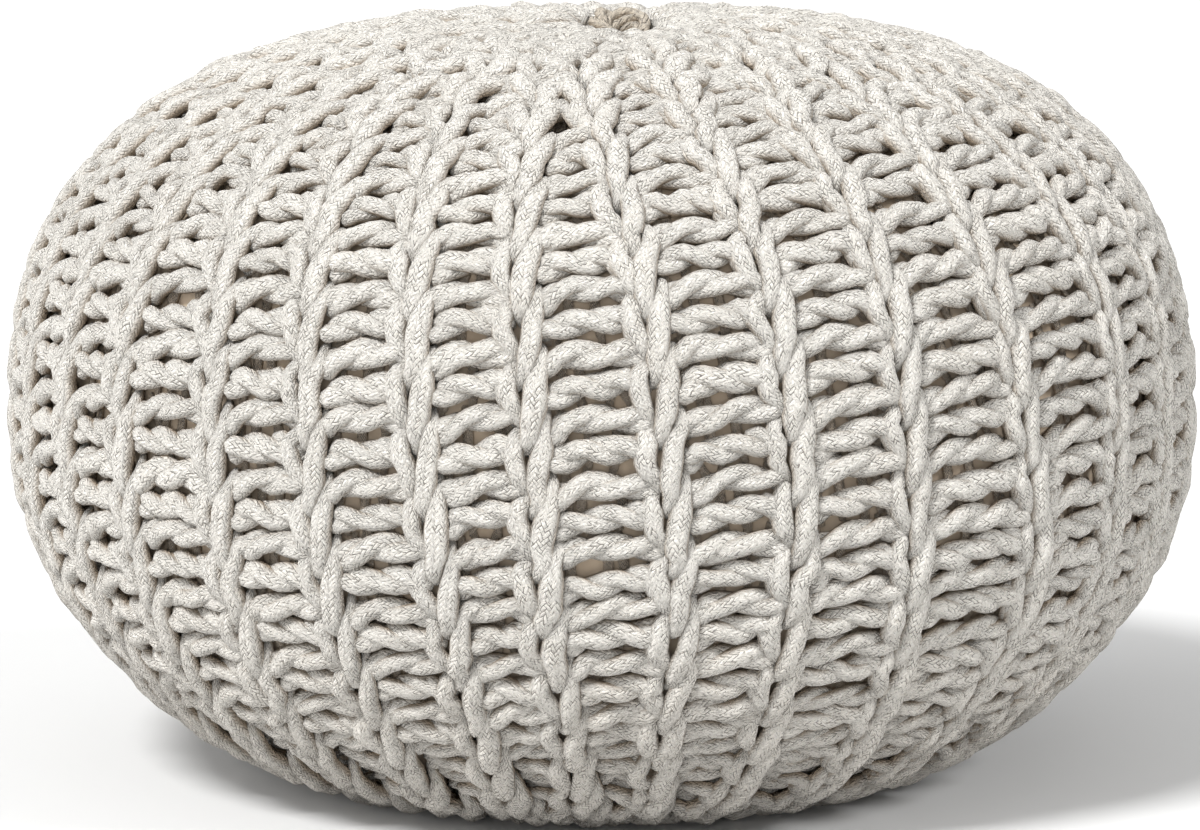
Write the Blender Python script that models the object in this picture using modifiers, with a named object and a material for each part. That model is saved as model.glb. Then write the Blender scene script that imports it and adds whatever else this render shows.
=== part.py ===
"""Knitted pouf: a round stuffed floor seat in a cover that is hand knitted from thick cotton cord.

Three pieces, in metres, +Z up, standing on z = 0 with the front towards -Y:
  knit_cover    a thick knitted shell with 31 raised ribs, gathered to a small mouth at the top
  inner_casing  the stuffed cloth ball inside it, filled solid
  closing_cord  the twisted cord in the mouth that draws the last round of stitches together
"""

import math

import bmesh
import bpy
from mathutils import Vector

# Driving dimensions of the whole pouf.
RADIUS = 0.25
HEIGHT = 0.317
WAIST_HEIGHT = 0.145
BASE_RADIUS = 0.090
MOUTH_RADIUS = 0.0135

# How full the curve is above and below the waist: 2 is an ellipse, more is squarer.
UPPER_FULLNESS = 2.55
LOWER_FULLNESS = 1.96

# The knit.
RIB_COUNT = 31
RIB_HEIGHT = 0.0065
RIB_FULL_PITCH = 0.030
COVER_THICKNESS = 0.012
RIB_SECTION = (
    # share of the rib's pitch, share of the rib's height
    (-0.23, 0.0),
    (-0.10, 1.0),
    (0.10, 1.0),
    (0.23, 0.0),
)

# The ribs are a little uneven round the pouf, and lean as they rise: the lean is a cubic in the height
# above the waist, which is 1 at the crown and -1 at the base.
FIRST_RIB = math.radians(-3.0)
RIB_DRIFT = math.radians(2.5)
RIB_DRIFT_CENTRE = math.radians(12.0)
LEAN = (math.radians(-3.1), math.radians(-1.4), math.radians(-0.9))

# The filling has settled: the crown has slipped forwards and a little to the right, the belly bulges
# at the front, and the crown sags in front of the mouth.
CROWN_SLIP = Vector((0.0065, -0.030))
BELLY_BULGE = 0.030
SAG_DEPTH = 0.006
SAG_HALF_WIDTH = 0.055
SAG_BACK = -0.012
SAG_DEEPEST = (-0.045, -0.060)
SAG_FRONT = -0.160

# The cord in the mouth: two strands twisted together.
CORD_RADIUS = 0.0036
CORD_LOBE = 0.12
CORD_TWISTS = 7

CLEARANCE = 0.0004

# Rows of points along the walls.
UPPER_ROWS = 13
LOWER_ROWS = 9
INNER_UPPER_ROWS = 6
INNER_LOWER_ROWS = 5
BASE_RING_RADII = (0.080, 0.055, 0.028)

COLOURS = {
    "knit_cover": (0.80, 0.77, 0.71),
    "inner_casing": (0.72, 0.63, 0.56),
    "closing_cord": (0.62, 0.56, 0.48),
}


def smoothstep(start, end, value):
    share = min(max((value - start) / (end - start), 0.0), 1.0)
    return share * share * (3.0 - 2.0 * share)


def clear_scene():
    for obj in list(bpy.data.objects):
        bpy.data.objects.remove(obj)


def cloth_material(name):
    material = bpy.data.materials.new(name)
    material.use_nodes = True
    shader = material.node_tree.nodes["Principled BSDF"]
    shader.inputs["Base Color"].default_value = (*COLOURS[name], 1.0)
    shader.inputs["Roughness"].default_value = 0.9
    shader.inputs["Metallic"].default_value = 0.0
    return material


def wall_point(turn, inset):
    """A point of the half section as (radius, height). turn runs from 90 degrees at the mouth, over 0
    at the waist, to -90 degrees at the rim of the base. inset is the depth below the ribs' crests."""
    above = turn >= 0.0
    fullness = UPPER_FULLNESS if above else LOWER_FULLNESS
    inner_radius = MOUTH_RADIUS if above else BASE_RADIUS
    rise = HEIGHT - WAIST_HEIGHT if above else -WAIST_HEIGHT
    power = 2.0 / fullness
    across = max(math.cos(turn), 0.0) ** power
    along = abs(math.sin(turn)) ** power
    radius = inner_radius + (RADIUS - inner_radius) * across
    height = WAIST_HEIGHT + rise * along
    # The outward direction of the curve |x|^n + |y|^n = 1 at this point.
    out_radius = across ** (fullness - 1.0) / (RADIUS - inner_radius)
    out_height = along ** (fullness - 1.0) / rise
    length = math.hypot(out_radius, out_height)
    return radius - inset * out_radius / length, height - inset * out_height / length


def wall(inset, upper_rows, lower_rows):
    """Points of the half section from the mouth down to the rim of the base."""
    upper = [math.pi / 2.0 * (1.0 - row / upper_rows) for row in range(upper_rows)]
    lower = [-math.pi / 2.0 * row / lower_rows for row in range(lower_rows + 1)]
    return [wall_point(turn, inset) for turn in upper + lower]


def turned(name, profile, steps):
    """A mesh made by turning a half section, listed from the top of its outer side to the bottom."""
    mesh = bpy.data.meshes.new(name)
    points = [(radius, 0.0, height) for radius, height in profile]
    mesh.from_pydata(points, [(i, i + 1) for i in range(len(points) - 1)], [])
    guide = bpy.data.objects.new(name + "_section", mesh)
    bpy.context.scene.collection.objects.link(guide)
    screw = guide.modifiers.new("Turn", "SCREW")
    screw.axis = "Z"
    screw.angle = 2.0 * math.pi
    screw.steps = steps
    screw.render_steps = steps
    screw.use_merge_vertices = True
    screw.merge_threshold = 0.00001
    bpy.context.view_layer.update()
    graph = bpy.context.evaluated_depsgraph_get()
    result = bpy.data.meshes.new_from_object(guide.evaluated_get(graph))
    result.name = name
    bpy.data.objects.remove(guide)
    return result


def rib_angle(column):
    """The angle of a column of points, from the front (-Y) towards +X, and its share of rib height."""
    rib, place = divmod(column, len(RIB_SECTION))
    share, height = RIB_SECTION[place]
    even = FIRST_RIB + 2.0 * math.pi * (rib + share) / RIB_COUNT
    return even - RIB_DRIFT * math.cos(2.0 * (even - RIB_DRIFT_CENTRE)), height


def rib_fade(radius, height):
    """How much of its full height a rib has: less at the mouth, where it is crowded, and none on the base."""
    if height > WAIST_HEIGHT:
        return min(2.0 * math.pi * radius / RIB_COUNT / RIB_FULL_PITCH, 1.0)
    return smoothstep(BASE_RADIUS, BASE_RADIUS + 0.05, radius)


def settle(radius, angle, height):
    """Where a point of the even, turned pouf lies once the ribs lean and the filling has settled."""
    above = height > WAIST_HEIGHT
    rise = HEIGHT - WAIST_HEIGHT if above else WAIST_HEIGHT
    level = min(abs(height - WAIST_HEIGHT) / rise, 1.0)
    climb = level if above else -level
    angle += LEAN[0] * climb + LEAN[1] * climb**2 + LEAN[2] * climb**3
    x = radius * math.sin(angle)
    y = -radius * math.cos(angle)
    if not above:
        frontness = (1.0 + math.cos(angle) * min(radius / BASE_RADIUS, 1.0)) / 2.0
        return x, y - BELLY_BULGE * frontness * level**2, height
    x += CROWN_SLIP.x * level**4
    y += CROWN_SLIP.y * level**2
    across = math.exp(-(((x - CROWN_SLIP.x) / SAG_HALF_WIDTH) ** 2))
    along = smoothstep(SAG_BACK, SAG_DEEPEST[0], y) * smoothstep(SAG_FRONT, SAG_DEEPEST[1], y)
    return x, y, height - SAG_DEPTH * across * along * smoothstep(0.5, 0.9, level)


def lay(mesh, steps, outer_section=()):
    """Settles every point of a turned mesh. Points on the outer section also take the ribs' form."""
    outer = {(round(radius, 5), round(height, 5)) for radius, height in outer_section}
    for vertex in mesh.vertices:
        x, y, height = vertex.co
        radius = math.hypot(x, y)
        column = round(math.atan2(y, x) / (2.0 * math.pi) * steps) % steps
        angle, share = rib_angle(column)
        if (round(radius, 5), round(height, 5)) in outer:
            depth = RIB_HEIGHT * (1.0 - share) * rib_fade(radius, height)
            radius, height = sunk(radius, height, depth)
        vertex.co = settle(radius, angle, height)


def sunk(radius, height, depth):
    """The point this deep below a point of the crests' section."""
    above = height > WAIST_HEIGHT
    inner_radius = MOUTH_RADIUS if above else BASE_RADIUS
    rise = HEIGHT - WAIST_HEIGHT if above else -WAIST_HEIGHT
    fullness = UPPER_FULLNESS if above else LOWER_FULLNESS
    across = min(max((radius - inner_radius) / (RADIUS - inner_radius), 0.0), 1.0)
    turn = math.acos(across ** (fullness / 2.0))
    even_radius, even_height = wall_point(turn if above else -turn, 0.0)
    low_radius, low_height = wall_point(turn if above else -turn, depth)
    return radius + low_radius - even_radius, height + low_height - even_height


def finish(name, mesh, collection):
    mesh.materials.clear()
    mesh.materials.append(cloth_material(name))
    mesh.shade_smooth()
    mesh.set_sharp_from_angle(angle=math.radians(50.0))
    obj = bpy.data.objects.new(name, mesh)
    collection.objects.link(obj)
    return obj


def knit_cover(collection):
    """A shell: up its inner wall, through the mouth and down its ribbed outer wall to the flat base."""
    steps = RIB_COUNT * len(RIB_SECTION)
    inner = wall(COVER_THICKNESS, INNER_UPPER_ROWS, INNER_LOWER_ROWS)
    outer = wall(0.0, UPPER_ROWS, LOWER_ROWS)
    base = [(radius, 0.0) for radius in BASE_RING_RADII[1:]] + [(0.0, 0.0)]
    profile = [(0.0, COVER_THICKNESS)] + inner[::-1] + outer + base
    mesh = turned("knit_cover", profile, steps)
    lay(mesh, steps, outer)
    return finish("knit_cover", mesh, collection)


def inner_casing(collection):
    """The stuffed ball, which fills the shell."""
    steps = RIB_COUNT * len(RIB_SECTION)
    inset = COVER_THICKNESS + CLEARANCE
    skin = wall(inset, INNER_UPPER_ROWS, INNER_LOWER_ROWS)
    crown = [(radius, HEIGHT - inset) for radius in (0.0, MOUTH_RADIUS / 3.0, MOUTH_RADIUS * 2.0 / 3.0)]
    profile = crown + skin + [(0.0, inset)]
    mesh = turned("inner_casing", profile, steps)
    lay(mesh, steps)
    return finish("inner_casing", mesh, collection)


def closing_cord(collection):
    """A ring of two twisted strands that lies in the mouth, on the casing."""
    widest = CORD_RADIUS * (1.0 + CORD_LOBE)
    ring_radius = MOUTH_RADIUS - CLEARANCE - widest
    seat = HEIGHT - COVER_THICKNESS - CLEARANCE
    bpy.ops.mesh.primitive_torus_add(
        major_radius=ring_radius, minor_radius=CORD_RADIUS, major_segments=49, minor_segments=8
    )
    torus = bpy.context.object
    mesh = torus.data
    bpy.data.objects.remove(torus)
    for vertex in mesh.vertices:
        x, y, z = vertex.co
        round_ring = math.atan2(y, x)
        from_core = math.hypot(x, y) - ring_radius
        round_cord = math.atan2(z, from_core)
        swell = 1.0 + CORD_LOBE * math.cos(2.0 * round_cord - CORD_TWISTS * round_ring)
        radius = ring_radius + from_core * swell
        height = seat + CLEARANCE + widest + z * swell
        vertex.co = settle(radius, round_ring, height)
    mesh.name = "closing_cord"
    return finish("closing_cord", mesh, collection)


def stand_on_origin(objects):
    """Moves the points so that the middle of the pouf's footprint is the origin and its base is z = 0."""
    points = [vertex.co for obj in objects for vertex in obj.data.vertices]
    low = Vector((min(point[axis] for point in points) for axis in range(3)))
    high = Vector((max(point[axis] for point in points) for axis in range(3)))
    offset = Vector(((low.x + high.x) / 2.0, (low.y + high.y) / 2.0, low.z))
    for obj in objects:
        for vertex in obj.data.vertices:
            vertex.co -= offset


def main():
    clear_scene()
    collection = bpy.data.collections.new("knitted_pouf")
    bpy.context.scene.collection.children.link(collection)
    pieces = [knit_cover(collection), inner_casing(collection), closing_cord(collection)]
    stand_on_origin(pieces)
    for piece in pieces:
        shape = bmesh.new()
        shape.from_mesh(piece.data)
        bmesh.ops.recalc_face_normals(shape, faces=shape.faces)
        shape.to_mesh(piece.data)
        shape.free()


main()
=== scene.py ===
"""Looks of the knitted pouf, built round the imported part.

The cover is made stitch by stitch, as it is knitted: each of its 31 ribs is a chain of two-legged
stitches, and between two ribs every stitch is joined to its neighbour by two bars of twisted cord.
The stitches are laid out on the same curve as the part's own cover and lifted off the stuffed casing.
The tables of stitches say their own units. All the rest is in metres, +Z up, with the front towards -Y.
"""

import math

import bpy
import numpy as np
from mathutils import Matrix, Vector


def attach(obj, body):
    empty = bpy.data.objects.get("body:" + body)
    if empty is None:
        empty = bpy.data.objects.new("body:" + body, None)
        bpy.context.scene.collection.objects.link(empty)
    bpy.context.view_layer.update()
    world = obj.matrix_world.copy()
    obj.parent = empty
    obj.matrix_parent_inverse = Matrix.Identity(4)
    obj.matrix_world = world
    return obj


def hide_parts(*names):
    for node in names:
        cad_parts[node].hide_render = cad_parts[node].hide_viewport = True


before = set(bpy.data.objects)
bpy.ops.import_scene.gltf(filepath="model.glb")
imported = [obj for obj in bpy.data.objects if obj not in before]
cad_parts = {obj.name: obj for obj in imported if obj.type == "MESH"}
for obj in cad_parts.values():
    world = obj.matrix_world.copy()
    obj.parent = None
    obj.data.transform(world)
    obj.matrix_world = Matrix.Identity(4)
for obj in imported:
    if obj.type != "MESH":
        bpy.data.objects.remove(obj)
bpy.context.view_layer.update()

# ---------------------------------------------------------------- the part's own form, as in its source
RADIUS = 0.25
HEIGHT = 0.317
WAIST_HEIGHT = 0.145
BASE_RADIUS = 0.090
MOUTH_RADIUS = 0.0135
UPPER_FULLNESS = 2.55
LOWER_FULLNESS = 1.96
RIB_COUNT = 31
FIRST_RIB = math.radians(-3.0)
RIB_DRIFT = math.radians(2.5)
RIB_DRIFT_CENTRE = math.radians(12.0)
LEAN = (math.radians(-3.1), math.radians(-1.4), math.radians(-0.9))
CROWN_SLIP = (0.0065, -0.030)
BELLY_BULGE = 0.030
SAG_DEPTH = 0.006
SAG_HALF_WIDTH = 0.055
SAG_BACK = -0.012
SAG_DEEPEST = (-0.045, -0.060)
SAG_FRONT = -0.160
CASING_INSET = 0.0124

# ---------------------------------------------------------------- the knit
MM = 0.001
ROW_PITCH = 0.0259
FIRST_ROW_ABOVE_WAIST = 0.013
FIRST_ROW_RIB = 1
ROWS_PER_TURN = 2.0
# Rows start this far beyond the middle of the base, because they climb round the pouf.
ROWS_REACH = 0.06
# Where the pitch of the ribs is less than this, their stitches are narrowed, to this share at the least.
FULL_PITCH = 0.019
LEAST_SQUEEZE = 0.35
# Where the ribs touch and leave no room for bars, between the crown and the sides, they are this much
# plumper. That comes in between the first two pitches of the ribs and goes between the last two.
PLUMP = 0.42
PLUMP_STARTS = (0.017, 0.023)
PLUMP_STOPS = (0.027, 0.036)

# The lip of the mouth turns down over this radius, and its stitches end this far inside.
LIP = 0.0045
LIP_DROP = 0.002

# Crowded ribs sink under their neighbours, every second rib and then every fourth: the radii inside which
# they are gone, the length over which they sink, and how deep.
ODD_RIB_ENDS = 0.066
EVEN_RIB_ENDS = 0.036
SINK_LENGTH = 0.022
SINK_DEPTH = 6.0 * MM

# On the crown the crowded stitches puff up between two radii: their middles stand this much prouder than
# on the sides, their ends and the bars by these shares of it, and they lie this much less evenly.
CROWN_RISE = 0.0022
CROWN_RISES = (0.225, 0.180)
END_PUFF = 0.4
BAR_PUFF = 0.3
CROWN_LOOSENESS = 0.5
# Near the base, between two arc lengths, the bars lie deeper and are this share thinner, and the ribs
# stand out over them.
LOW_SINKS = (0.230, 0.165)
LOW_SINK = 0.0030
LOW_THIN = 0.10
LOW_RISE = 0.0024

# The gathering cord: the radius of its two strands, how far off their middle they twist, its turns in the
# mouth and its twists in all of them, and how many rings of its mesh make a turn.
RING_STRAND = 0.0024
RING_TWIST = 0.0018
RING_TURNS = 3.0
RING_TWISTS = 7.0
RINGS_A_TURN = 64
# The radius of the top turn and the share by which the lowest is narrower, their depth in all, how far they
# dip in front, and how far the top one's middle lies over the crown and to the right of the mouth's.
RING_RADIUS = 0.0102
RING_NARROWS = 0.45
RING_DEPTH = 0.0075
RING_DIP = 0.0095
RING_RISE = -0.0008
RING_SHIFT = 0.0015

# The casing's mesh, and how far the middle of its top is drawn in.
CASING_COLUMNS = 160
CASING_ROWS = 120
CASING_DIMPLE = 0.004

# The cover's ribs are shared out to this many sectors, each with its own pieces.
SECTORS = 6
SEED = 20

# ---------------------------------------------------------------- camera
CAMERA_ELEVATION = math.radians(8.05)
CAMERA_DISTANCE = 2.3
CAMERA_TARGET = Vector((-0.0008, 0.0, 0.1454))
CAMERA_LENS = 163.3
SENSOR = 36.0


def add_camera():
    data = bpy.data.cameras.new("camera")
    data.lens = CAMERA_LENS
    data.sensor_width = SENSOR
    camera = bpy.data.objects.new("camera", data)
    bpy.context.scene.collection.objects.link(camera)
    back = Vector((0.0, -math.cos(CAMERA_ELEVATION), math.sin(CAMERA_ELEVATION)))
    camera.location = CAMERA_TARGET + back * CAMERA_DISTANCE
    camera.rotation_mode = "QUATERNION"
    camera.rotation_quaternion = (-back).to_track_quat("-Z", "Y")
    bpy.context.scene.camera = camera


# ---------------------------------------------------------------- the curve that the stitches lie on
def smoothstep(start, end, value):
    share = np.clip((value - start) / (end - start), 0.0, 1.0)
    return share * share * (3.0 - 2.0 * share)


def quarter(turn, inner_radius, rise, fullness):
    """Radius, height and outward direction of a stretch of the section, and its climb from the waist."""
    power = 2.0 / fullness
    across = np.cos(turn) ** power
    along = np.abs(np.sin(turn)) ** power
    out_radius = across ** (fullness - 1.0) / (RADIUS - inner_radius)
    out_height = along ** (fullness - 1.0) / rise
    length = np.hypot(out_radius, out_height)
    radius = inner_radius + (RADIUS - inner_radius) * across
    height = WAIST_HEIGHT + rise * along
    climb = along * np.sign(rise)
    return np.stack([radius, height, out_radius / length, out_height / length, climb], axis=1)


def make_section():
    """The crests' section from the middle of the base, over the waist, into the mouth, by arc length."""
    steps = 3000
    edge = np.pi / 2.0 - 1e-6
    flat = np.linspace(0.0, BASE_RADIUS, 100)[:-1]
    base = np.stack([flat, 0 * flat, 0 * flat, 0 * flat - 1.0, 0 * flat - 1.0], axis=1)
    lower = quarter(np.linspace(edge, 1e-6, steps), BASE_RADIUS, -WAIST_HEIGHT, LOWER_FULLNESS)
    upper = quarter(np.linspace(1e-6, edge, steps), MOUTH_RADIUS, HEIGHT - WAIST_HEIGHT, UPPER_FULLNESS)
    upper = upper[upper[:, 0] > MOUTH_RADIUS + LIP]
    bend = np.linspace(0.0, np.pi / 2.0, 60)
    lip = np.stack(
        [
            MOUTH_RADIUS + LIP - LIP * np.sin(bend),
            HEIGHT - LIP + LIP * np.cos(bend),
            -np.sin(bend),
            np.cos(bend),
            1.0 + 0.0 * bend,
        ],
        axis=1,
    )
    drop = lip[-1] + np.array([[0.0, -LIP_DROP, 0.0, 0.0, 0.0]])
    table = np.concatenate([base, lower, upper, lip, drop])
    arc = np.concatenate([[0.0], np.cumsum(np.hypot(*np.diff(table[:, :2], axis=0).T))])
    return arc, table


ARC, SECTION = make_section()
WAIST_ARC = float(np.interp(RADIUS - 1e-6, SECTION[: len(SECTION) // 2, 0], ARC[: len(SECTION) // 2]))
LAST_ARC = float(ARC[-1])


def section_at(arc):
    return [np.interp(arc, ARC, SECTION[:, column]) for column in range(5)]


def radius_at(arc):
    return np.interp(arc, ARC, SECTION[:, 0])


def on_pouf(arc, angle, lift):
    """Points at an arc length up the section, an angle round it and a height off the casing."""
    radius, height, out_radius, out_height, climb = section_at(arc)
    inset = CASING_INSET - lift
    radius = radius - inset * out_radius
    height = height - inset * out_height
    angle = angle + LEAN[0] * climb + LEAN[1] * climb**2 + LEAN[2] * climb**3
    x = radius * np.sin(angle)
    y = -radius * np.cos(angle)
    above = climb > 0.0
    level = np.abs(climb)
    frontness = (1.0 + np.cos(angle) * np.minimum(radius / BASE_RADIUS, 1.0)) / 2.0
    x = np.where(above, x + CROWN_SLIP[0] * level**4, x)
    y = np.where(above, y + CROWN_SLIP[1] * level**2, y - BELLY_BULGE * frontness * level**2)
    across = np.exp(-(((x - CROWN_SLIP[0]) / SAG_HALF_WIDTH) ** 2))
    along = smoothstep(SAG_BACK, SAG_DEEPEST[0], y) * smoothstep(SAG_FRONT, SAG_DEEPEST[1], y)
    sag = SAG_DEPTH * across * along * smoothstep(0.5, 0.9, level)
    return np.stack([x, y, np.where(above, height - sag, height)], axis=-1)


def outward(arc, angle):
    step = on_pouf(arc, angle, 0.006) - on_pouf(arc, angle, 0.004)
    return step / np.linalg.norm(step, axis=-1, keepdims=True)


def rib_angle(rib):
    """The angle of a rib's middle, from the front (-Y) towards +X, for any whole or part number."""
    even = FIRST_RIB + 2.0 * np.pi * rib / RIB_COUNT
    return even - RIB_DRIFT * np.cos(2.0 * (even - RIB_DRIFT_CENTRE))


# ---------------------------------------------------------------- tubes of cord
# How far a tube's tips stand out from its last rings, in half depths.
TIP = 0.35
# How far each tube's braid lies along from that of the tube before, in girths, so that no two are alike.
PATTERN_STEP = 3.17
# The shares of a tube's strip in the baked map that stay bare at each end and each side, and the rings' worth
# of it that a tip takes.
STRIP_END = 0.04
STRIP_SIDE = 0.06
STRIP_TIP = 0.6


def spline_weights(knots, samples):
    """Catmull-Rom weights: row by row, how each sample along a path mixes the path's knots."""
    weights = np.zeros((samples, knots))
    for row, place in enumerate(np.linspace(0.0, knots - 1.0, samples)):
        start = min(int(place), knots - 2)
        t = place - start
        mix = (
            (-t + 2 * t**2 - t**3) / 2,
            (2 - 5 * t**2 + 3 * t**3) / 2,
            (t + 4 * t**2 - 3 * t**3) / 2,
            (-(t**2) + t**3) / 2,
        )
        for offset, share in zip((-1, 0, 1, 2), mix):
            weights[row, min(max(start + offset, 0), knots - 1)] += share
    return weights


def tube_faces(rings, sides):
    """The faces of one closed tube: corners, corners a face, and each corner's place round and along it.

    Its rings' points come first, then the tips of its start and end. Places along it count its rings.
    """
    ring, side = np.divmod(np.arange((rings - 1) * sides), sides)
    after = (side + 1) % sides
    quads = [ring * sides + side, ring * sides + after, (ring + 1) * sides + after, (ring + 1) * sides + side]
    quads = np.stack(quads, axis=1)[:, ::-1]
    quad_u = np.stack([side, side + 1, side + 1, side], axis=1)[:, ::-1] / sides
    quad_v = np.stack([ring, ring, ring + 1, ring + 1], axis=1)[:, ::-1]
    around = np.arange(sides)
    following = (around + 1) % sides
    tip = rings * sides
    last = (rings - 1) * sides
    start_cap = np.stack([around, following, np.full(sides, tip)], axis=1)
    end_cap = np.stack([last + around, last + following, np.full(sides, tip + 1)], axis=1)[:, ::-1]
    cap_u = np.stack([around, around + 1, around + 0.5], axis=1) / sides
    start_v = np.tile([0.0, 0.0, -0.5], (sides, 1))
    end_v = np.tile([rings - 1.0, rings - 1.0, rings - 0.5], (sides, 1))[:, ::-1]
    corners = np.concatenate([quads.ravel(), start_cap.ravel(), end_cap.ravel()])
    sizes = np.concatenate([np.full(len(quads), 4), np.full(2 * sides, 3)])
    u = np.concatenate([quad_u.ravel(), cap_u.ravel(), cap_u[:, ::-1].ravel()])
    v = np.concatenate([quad_v.ravel(), start_v.ravel(), end_v.ravel()])
    return corners, sizes, u, v


def tube_points(points, normals, half_width, half_depth, sides):
    """The points of closed tubes, one row a tube: their rings round the paths, then their two tips."""
    tubes, rings = points.shape[:2]
    tangent = np.gradient(points, axis=1)
    tangent /= np.linalg.norm(tangent, axis=2, keepdims=True)
    side = np.cross(tangent, normals)
    side /= np.linalg.norm(side, axis=2, keepdims=True)
    face = np.cross(side, tangent)
    theta = 2.0 * np.pi * np.arange(sides) / sides - np.pi / 2.0
    ring = (
        points[:, :, None]
        + half_width[:, :, None, None] * np.cos(theta)[:, None] * side[:, :, None]
        + half_depth[:, :, None, None] * np.sin(theta)[:, None] * face[:, :, None]
    )
    tip = TIP * half_depth[:, [0, -1], None] * tangent[:, [0, -1]]
    ends = points[:, [0, -1]] + tip * np.array([[[-1.0], [1.0]]])
    return np.concatenate([ring.reshape(tubes, rings * sides, 3), ends], axis=1)


def girths_along(points, half_width, v):
    """How far each place v, counted in rings, lies along each tube, in the tube's own girths."""
    tubes, rings = points.shape[:2]
    lengths = np.linalg.norm(np.diff(points, axis=1), axis=2)
    walked = np.concatenate([np.zeros((tubes, 1)), np.cumsum(lengths, axis=1)], axis=1)
    walked = walked / (2.0 * np.pi * half_width.mean(axis=1, keepdims=True))
    low = np.clip(np.floor(v).astype(int), 0, rings - 2)
    return walked[:, low] + (walked[:, low + 1] - walked[:, low]) * (v - low)[None, :]


class Cords:
    """Closed tubes gathered into one mesh, each with its own strip in two UV maps."""

    def __init__(self, name, strips_across=8):
        self.name = name
        self.strips_across = strips_across
        self.batches = []

    def add(self, points, normals, half_width, half_depth, sides):
        """points and normals are (tubes, rings, 3); the half sizes are (tubes, rings)."""
        if len(points):
            self.batches.append((points, normals, half_width, half_depth, sides))

    def build(self):
        rows = -(-sum(len(batch[0]) for batch in self.batches) // self.strips_across)
        strip = (1.0 / self.strips_across, 1.0 / rows)
        vertices, corners, sizes, bake_uv, yarn_uv = [], [], [], [], []
        made, first_vertex = 0, 0
        for points, normals, half_width, half_depth, sides in self.batches:
            tubes, rings = points.shape[:2]
            block = tube_points(points, normals, half_width, half_depth, sides)
            vertices.append(block.reshape(-1, 3))
            tube_corners, tube_sizes, u, v = tube_faces(rings, sides)
            offsets = first_vertex + block.shape[1] * np.arange(tubes)
            corners.append((tube_corners[None, :] + offsets[:, None]).ravel())
            sizes.append(np.tile(tube_sizes, tubes))

            order = made + np.arange(tubes)
            column, row = order % self.strips_across, order // self.strips_across
            share_v = (v + STRIP_TIP) / (rings - 1.0 + 2.0 * STRIP_TIP)
            bake_u = (column[:, None] + STRIP_END + (1.0 - 2.0 * STRIP_END) * share_v[None, :]) * strip[0]
            bake_v = (row[:, None] + STRIP_SIDE + (1.0 - 2.0 * STRIP_SIDE) * u[None, :]) * strip[1]
            bake_uv.append(np.stack([bake_u.ravel(), bake_v.ravel()], axis=1))
            along = girths_along(points, half_width, v) + PATTERN_STEP * order[:, None]
            yarn_uv.append(np.stack([np.tile(u, tubes), along.ravel()], axis=1))
            made += tubes
            first_vertex += block.shape[1] * tubes

        return mesh_object(
            self.name,
            np.concatenate(vertices),
            np.concatenate(corners),
            np.concatenate(sizes),
            {"OFBake": np.concatenate(bake_uv), "yarn": np.concatenate(yarn_uv)},
        )


def mesh_object(name, vertices, corners, sizes, uv_maps):
    mesh = bpy.data.meshes.new(name)
    mesh.vertices.add(len(vertices))
    mesh.vertices.foreach_set("co", vertices.astype(np.float32).ravel())
    mesh.loops.add(len(corners))
    mesh.loops.foreach_set("vertex_index", corners.astype(np.int32))
    mesh.polygons.add(len(sizes))
    starts = np.concatenate([[0], np.cumsum(sizes)[:-1]]).astype(np.int32)
    mesh.polygons.foreach_set("loop_start", starts)
    mesh.update(calc_edges=True)
    for uv_name, values in uv_maps.items():
        layer = mesh.uv_layers.new(name=uv_name)
        layer.data.foreach_set("uv", values.astype(np.float32).ravel())
    mesh.validate()
    mesh.shade_smooth()
    obj = bpy.data.objects.new(name, mesh)
    bpy.context.scene.collection.objects.link(obj)
    return obj


# ---------------------------------------------------------------- stitches
# Each path is a list of knots: millimetres across from the rib's middle, millimetres up from the top of
# the stitch, millimetres off the casing, half width and half depth of the cord.
RIGHT_LEG = np.array(
    [
        (6.2, 3.0, 2.5, 2.4, 2.2),
        (6.4, -1.5, 6.0, 2.6, 2.5),
        (5.4, -7.0, 7.8, 3.3, 3.1),
        (3.6, -13.5, 8.5, 4.3, 3.6),
        (1.9, -20.5, 8.7, 4.7, 3.8),
        (0.9, -27.0, 8.7, 4.5, 3.8),
        (-0.1, -32.5, 8.5, 3.8, 3.4),
        (-1.1, -37.5, 7.2, 3.3, 3.0),
        (-2.0, -42.0, 3.8, 2.5, 2.4),
    ]
)
LEFT_LEG = np.array(
    [
        (-3.4, -4.5, 4.6, 2.8, 2.6),
        (-5.6, -7.8, 6.8, 3.4, 3.1),
        (-7.2, -11.6, 8.0, 4.0, 3.5),
        (-7.7, -16.0, 8.3, 4.3, 3.6),
        (-6.8, -21.0, 8.1, 4.2, 3.6),
        (-5.3, -25.5, 7.4, 3.8, 3.3),
        (-3.6, -29.6, 6.0, 3.3, 2.9),
        (-1.6, -33.5, 4.0, 2.7, 2.4),
    ]
)
# The shoulder: the end of the lower bar's outer strand, which turns down beside the left leg.
SHOULDER = np.array(
    [
        (-19.0, -14.0, 4.4, 2.9, 2.7),
        (-15.0, -12.2, 6.0, 3.2, 2.9),
        (-11.6, -12.0, 7.0, 3.5, 3.2),
        (-9.4, -15.2, 7.2, 3.6, 3.2),
        (-8.2, -20.0, 6.8, 3.5, 3.1),
        (-6.6, -24.8, 5.6, 3.2, 2.8),
        (-5.0, -29.0, 3.6, 2.8, 2.4),
    ]
)
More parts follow.
